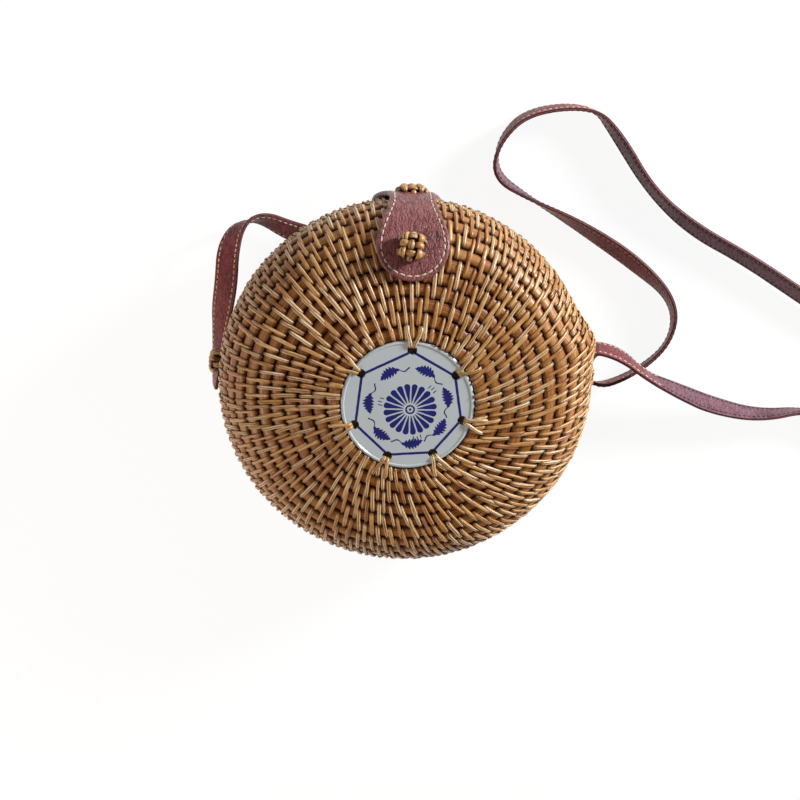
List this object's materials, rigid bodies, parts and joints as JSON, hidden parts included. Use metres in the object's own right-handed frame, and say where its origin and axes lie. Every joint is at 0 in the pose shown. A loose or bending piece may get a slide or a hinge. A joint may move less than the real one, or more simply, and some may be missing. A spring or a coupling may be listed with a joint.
{
  "type": "round woven bag",
  "caption": "Round coiled rattan bag in two hinged halves, with a ceramic disc in its front, a buttoned leather flap and a long stitched leather shoulder strap.",
  "frame": {"origin": "middle of the flat back that the bag rests on", "axes": "+Z out of the front, through the disc; +Y towards the flap; +X to the right as the front is seen with the flap up"},
  "size_m": [0.3861, 0.2257, 0.0742],
  "materials": {
    "rattan": "split cane, satin",
    "rattan_strip": "peeled cane, satin",
    "leather": "grained, waxed",
    "lining": "plain cotton",
    "ceramic": "white glaze with blue brushwork"
  },
  "bodies": {
    "back_half": {"back_shell": "rattan", "back_rim": "rattan", "back_lining": "lining", "flap_anchor": "leather", "flap_knot": "rattan_strip", "strap_keeper_left": "rattan_strip", "strap_keeper_right": "rattan_strip", "hinge_loop_left": "rattan_strip", "hinge_loop_right": "rattan_strip", "shoulder_strap": "leather", "back_weave": "rattan_strip"},
    "front_half": {"front_shell": "rattan", "front_rim": "rattan", "front_lining": "lining", "medallion": "ceramic", "medallion_lashings": "rattan_strip", "closure_knob": "rattan_strip", "front_weave": "rattan_strip"},
    "flap": {"closure_flap": "leather"}
  },
  "joints": [
    {"name": "shell_open", "type": "hinge", "parent": "back_half", "child": "front_half", "pos_m": [0, -0.0875, 0.0377], "axis": [1, 0, 0], "range_deg": [0, 90], "deforming": ["closure_flap"]},
    {"name": "flap_lift", "type": "hinge", "parent": "back_half", "child": "flap", "pos_m": [0, 0.0929, 0.035], "axis": [-1, 0, 0], "range_deg": [0, 120], "deforming": ["closure_flap"]}
  ]
}
